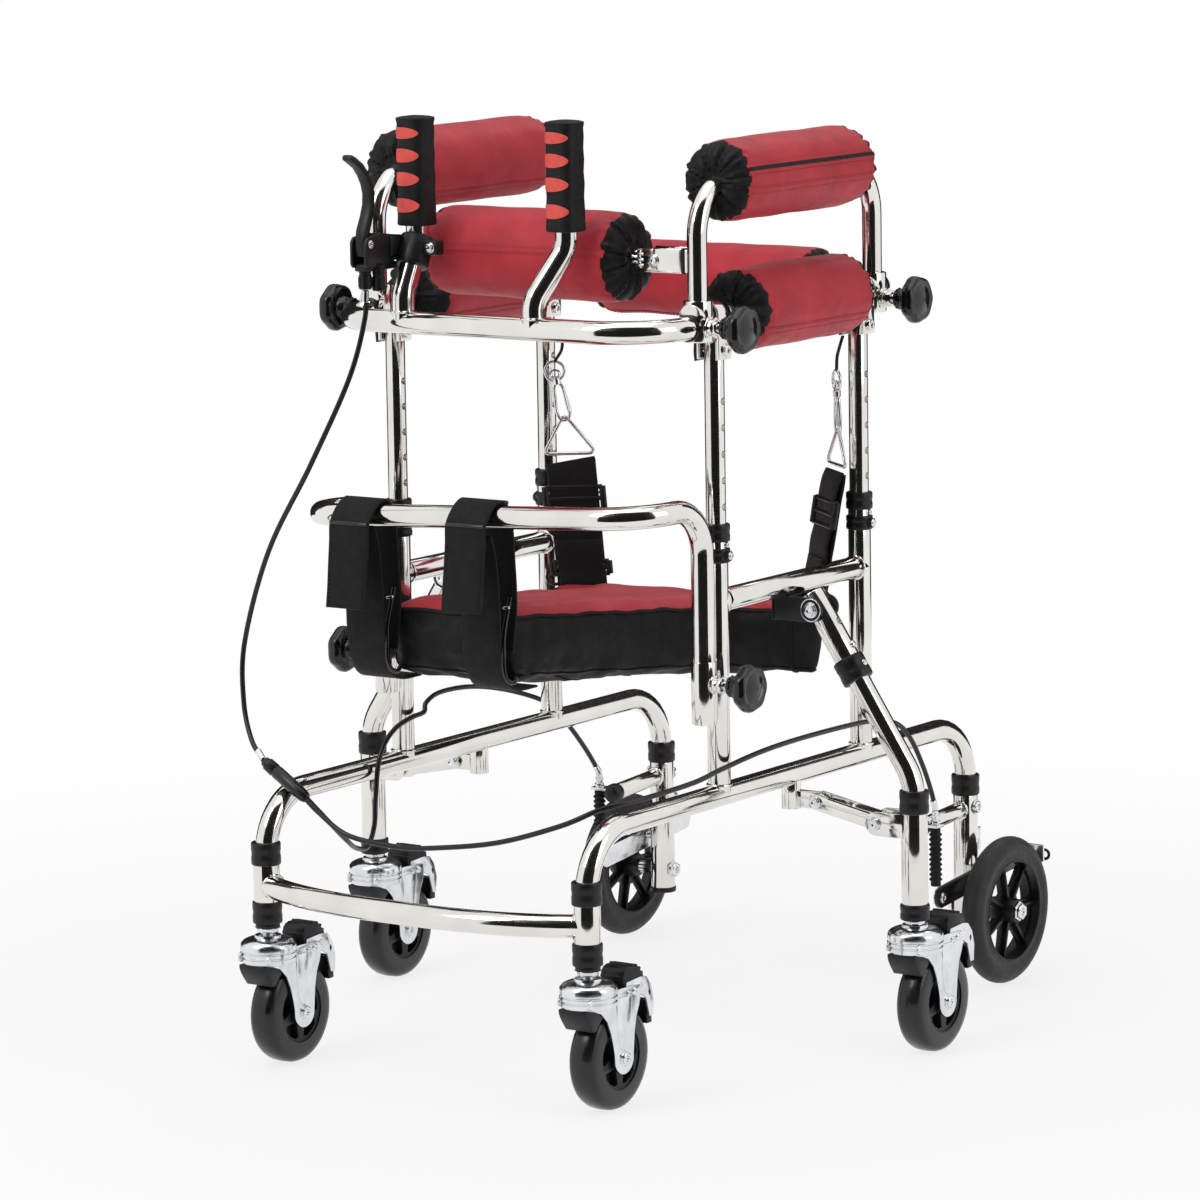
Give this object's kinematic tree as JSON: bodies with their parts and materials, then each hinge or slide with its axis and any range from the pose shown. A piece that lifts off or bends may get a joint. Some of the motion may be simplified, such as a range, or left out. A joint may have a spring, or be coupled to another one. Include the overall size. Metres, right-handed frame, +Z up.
{
  "type": "pediatric walker",
  "caption": "Wheeled gait-training walker for a child, with padded side and chest supports, sling seat, outriggers and hand brake.",
  "frame": {"origin": "centre of the overall footprint, on the floor under the wheels", "axes": "+X to the walker's right as seen from its hand grips, +Y from the hand grips to the rear wheels, +Z up"},
  "size_m": [0.699, 0.81, 0.906],
  "materials": {
    "polished_steel": "polished stainless tube",
    "zinc": "bright zinc plate",
    "black_plastic": "moulded, satin black",
    "black_rubber": "black rubber",
    "red_fabric": "coated fabric, slight sheen",
    "webbing": "woven webbing and black cover fabric"
  },
  "bodies": {
    "base": {"side_frame_left": "polished_steel", "side_frame_right": "polished_steel", "front_bow": "polished_steel", "rear_leg_left": "polished_steel", "rear_leg_right": "polished_steel", "seat_cushion": "red_fabric", "seat_strap_front_inner": "webbing", "seat_strap_front_outer": "webbing", "seat_strap_rear_left": "webbing", "seat_strap_rear_right": "webbing", "brake_cable_main": "black_rubber", "brake_cable_rear": "black_rubber", "brake_boot_left": "black_rubber", "brake_boot_right": "black_rubber"},
    "upper": {"upper_frame": "polished_steel", "handle_bow": "polished_steel", "grip_left": "black_rubber", "grip_right": "black_rubber", "brake_bracket": "black_plastic", "pad_lower_left": "red_fabric", "pad_lower_right": "red_fabric", "pad_back": "red_fabric", "strap_hook_left": "zinc", "strap_hook_right": "zinc"},
    "arch_left": {"arch_left": "polished_steel", "pad_upper_left": "red_fabric"},
    "arch_right": {"arch_right": "polished_steel", "pad_upper_right": "red_fabric"},
    "chest": {"chest_bar": "polished_steel", "pad_chest": "red_fabric"},
    "mid_bow": {"mid_bow": "polished_steel"},
    "brake_lever": {"brake_lever": "black_plastic"},
    "brake_arm_left": {"brake_arm_left": "black_plastic"},
    "brake_arm_right": {"brake_arm_right": "black_plastic"},
    "rear_wheel_left": {"rear_wheel_left": "black_rubber"},
    "rear_wheel_right": {"rear_wheel_right": "black_rubber"},
    "outrigger_tube_left": {"outrigger_tube_left": "polished_steel"},
    "outrigger_tube_right": {"outrigger_tube_right": "polished_steel"},
    "outrigger_leg_left": {"outrigger_leg_left": "polished_steel"},
    "outrigger_leg_right": {"outrigger_leg_right": "polished_steel"},
    "brace_link_left": {"brace_link_left": "polished_steel"},
    "brace_link_right": {"brace_link_right": "polished_steel"},
    "fork_front_left": {"caster_fork_front_left": "zinc"},
    "fork_front_right": {"caster_fork_front_right": "zinc"},
    "fork_outer_left": {"caster_fork_outer_left": "zinc"},
    "fork_outer_right": {"caster_fork_outer_right": "zinc"},
    "wheel_front_left": {"caster_wheel_front_left": "black_rubber"},
    "wheel_front_right": {"caster_wheel_front_right": "black_rubber"},
    "wheel_outer_left": {"caster_wheel_outer_left": "black_rubber"},
    "wheel_outer_right": {"caster_wheel_outer_right": "black_rubber"},
    "pedal_front_left": {"caster_pedal_front_left": "black_plastic"},
    "pedal_front_right": {"caster_pedal_front_right": "black_plastic"},
    "pedal_outer_left": {"caster_pedal_outer_left": "black_plastic"},
    "pedal_outer_right": {"caster_pedal_outer_right": "black_plastic"},
    "knob_front_left": {"knob_front_left": "black_plastic"},
    "knob_front_right": {"knob_front_right": "black_plastic"},
    "knob_middle_left": {"knob_middle_left": "black_plastic"},
    "knob_middle_right": {"knob_middle_right": "black_plastic"},
    "knob_rear_left": {"knob_rear_left": "black_plastic"},
    "knob_rear_right": {"knob_rear_right": "black_plastic"}
  },
  "joints": [
    {"name": "caster_swivel_front_left", "type": "hinge", "parent": "base", "child": "fork_front_left", "pos_m": [-0.186, -0.355, 0.12], "axis": [0, 0, 1], "continuous": true},
    {"name": "caster_swivel_front_right", "type": "hinge", "parent": "base", "child": "fork_front_right", "pos_m": [0.186, -0.355, 0.12], "axis": [0, 0, 1], "continuous": true},
    {"name": "caster_swivel_outer_left", "type": "hinge", "parent": "outrigger_leg_left", "child": "fork_outer_left", "pos_m": [-0.3225, -0.002, 0.12], "axis": [0, 0, 1], "continuous": true},
    {"name": "caster_swivel_outer_right", "type": "hinge", "parent": "outrigger_leg_right", "child": "fork_outer_right", "pos_m": [0.3225, -0.002, 0.12], "axis": [0, 0, 1], "continuous": true},
    {"name": "caster_spin_front_left", "type": "hinge", "parent": "fork_front_left", "child": "wheel_front_left", "pos_m": [-0.186, -0.3233, 0.05], "axis": [1, 0, 0], "continuous": true},
    {"name": "caster_spin_front_right", "type": "hinge", "parent": "fork_front_right", "child": "wheel_front_right", "pos_m": [0.186, -0.3233, 0.05], "axis": [1, 0, 0], "continuous": true},
    {"name": "caster_spin_outer_left", "type": "hinge", "parent": "fork_outer_left", "child": "wheel_outer_left", "pos_m": [-0.3225, 0.0297, 0.05], "axis": [1, 0, 0], "continuous": true},
    {"name": "caster_spin_outer_right", "type": "hinge", "parent": "fork_outer_right", "child": "wheel_outer_right", "pos_m": [0.3225, 0.0297, 0.05], "axis": [1, 0, 0], "continuous": true},
    {"name": "caster_brake_front_left", "type": "hinge", "parent": "fork_front_left", "child": "pedal_front_left", "pos_m": [-0.186, -0.305, 0.11], "axis": [-1, 0, 0], "range_deg": [0, 5]},
    {"name": "caster_brake_front_right", "type": "hinge", "parent": "fork_front_right", "child": "pedal_front_right", "pos_m": [0.186, -0.305, 0.11], "axis": [-1, 0, 0], "range_deg": [0, 5]},
    {"name": "caster_brake_outer_left", "type": "hinge", "parent": "fork_outer_left", "child": "pedal_outer_left", "pos_m": [-0.3225, 0.048, 0.11], "axis": [-1, 0, 0], "range_deg": [0, 5]},
    {"name": "caster_brake_outer_right", "type": "hinge", "parent": "fork_outer_right", "child": "pedal_outer_right", "pos_m": [0.3225, 0.048, 0.11], "axis": [-1, 0, 0], "range_deg": [0, 5]},
    {"name": "rear_wheel_spin_left", "type": "hinge", "parent": "base", "child": "rear_wheel_left", "pos_m": [-0.232, 0.3215, 0.075], "axis": [1, 0, 0], "continuous": true},
    {"name": "rear_wheel_spin_right", "type": "hinge", "parent": "base", "child": "rear_wheel_right", "pos_m": [0.232, 0.3215, 0.075], "axis": [1, 0, 0], "continuous": true},
    {"name": "brake_lever_squeeze", "type": "hinge", "parent": "upper", "child": "brake_lever", "pos_m": [-0.112, -0.279, 0.788], "axis": [-1, 0, 0], "range_deg": [0, 25], "stiffness_Nm_per_rad": 1.5, "springref_deg": -11.46},
    {"name": "brake_arm_swing_left", "type": "hinge", "parent": "base", "child": "brake_arm_left", "pos_m": [-0.2043, 0.3215, 0.11], "axis": [-1, 0, 0], "range_deg": [0, 4.6], "deforming": ["brake_boot_left"]},
    {"name": "brake_arm_swing_right", "type": "hinge", "parent": "base", "child": "brake_arm_right", "pos_m": [0.2043, 0.3215, 0.11], "axis": [-1, 0, 0], "range_deg": [0, 4.6], "deforming": ["brake_boot_right"]},
    {"name": "upper_height", "type": "slide", "parent": "base", "child": "upper", "axis": [0, 0, 1], "range_m": [-0.085, 0.025], "deforming": ["seat_strap_rear_left", "seat_strap_rear_right", "brake_cable_main"]},
    {"name": "mid_bow_height", "type": "slide", "parent": "base", "child": "mid_bow", "axis": [0, 0, 1], "range_m": [-0.02, 0.04], "deforming": ["seat_strap_front_inner", "seat_strap_front_outer"]},
    {"name": "arch_height_left", "type": "slide", "parent": "upper", "child": "arch_left", "axis": [0, 0, 1], "range_m": [0, 0.02]},
    {"name": "arch_height_right", "type": "slide", "parent": "upper", "child": "arch_right", "axis": [0, 0, 1], "range_m": [0, 0.02]},
    {"name": "chest_gate", "type": "hinge", "parent": "arch_right", "child": "chest", "pos_m": [0.141, -0.152, 0.773], "axis": [0, 1, 0], "range_deg": [0, 25]},
    {"name": "outrigger_length_left", "type": "slide", "parent": "outrigger_tube_left", "child": "outrigger_leg_left", "axis": [0.549, 0, 0.8358], "range_m": [0, 0.025]},
    {"name": "outrigger_length_right", "type": "slide", "parent": "outrigger_tube_right", "child": "outrigger_leg_right", "axis": [-0.549, 0, 0.8358], "range_m": [0, 0.025]},
    {"name": "outrigger_swing_left", "type": "hinge", "parent": "base", "child": "outrigger_tube_left", "pos_m": [-0.218, -0.002, 0.428], "axis": [0, 1, 0], "range_deg": [0, 4.6]},
    {"name": "outrigger_swing_right", "type": "hinge", "parent": "base", "child": "outrigger_tube_right", "pos_m": [0.218, -0.002, 0.428], "axis": [0, -1, 0], "range_deg": [0, 4.6]},
    {"name": "brace_swing_left", "type": "hinge", "parent": "base", "child": "brace_link_left", "pos_m": [-0.216, -0.002, 0.24], "axis": [0, 1, 0], "range_deg": [0, 20.8]},
    {"name": "brace_swing_right", "type": "hinge", "parent": "base", "child": "brace_link_right", "pos_m": [0.216, -0.002, 0.24], "axis": [0, -1, 0], "range_deg": [0, 20.8]},
    {"name": "knob_turn_front_left", "type": "hinge", "parent": "upper", "child": "knob_front_left", "pos_m": [-0.1955, -0.1585, 0.712], "axis": [1, 0, 0], "continuous": true},
    {"name": "knob_turn_front_right", "type": "hinge", "parent": "upper", "child": "knob_front_right", "pos_m": [0.1955, -0.1585, 0.712], "axis": [1, 0, 0], "continuous": true},
    {"name": "knob_turn_rear_left", "type": "hinge", "parent": "upper", "child": "knob_rear_left", "pos_m": [-0.1955, 0.15, 0.712], "axis": [1, 0, 0], "continuous": true},
    {"name": "knob_turn_rear_right", "type": "hinge", "parent": "upper", "child": "knob_rear_right", "pos_m": [0.1955, 0.15, 0.712], "axis": [1, 0, 0], "continuous": true},
    {"name": "knob_turn_middle_left", "type": "hinge", "parent": "base", "child": "knob_middle_left", "pos_m": [-0.197, -0.156, 0.3745], "axis": [1, 0, 0], "continuous": true},
    {"name": "knob_turn_middle_right", "type": "hinge", "parent": "base", "child": "knob_middle_right", "pos_m": [0.197, -0.156, 0.3745], "axis": [1, 0, 0], "continuous": true}
  ],
  "couplings": [
    {"joint": "brake_arm_swing_left", "follows": "brake_lever_squeeze", "ratio": 0.18},
    {"joint": "brake_arm_swing_right", "follows": "brake_lever_squeeze", "ratio": 0.18},
    {"joint": "outrigger_swing_left", "follows": "outrigger_length_left", "rad_per_m": 3.14},
    {"joint": "outrigger_swing_right", "follows": "outrigger_length_right", "rad_per_m": 3.14},
    {"joint": "brace_swing_left", "follows": "outrigger_length_left", "rad_per_m": 14.4},
    {"joint": "brace_swing_right", "follows": "outrigger_length_right", "rad_per_m": 14.4}
  ]
}
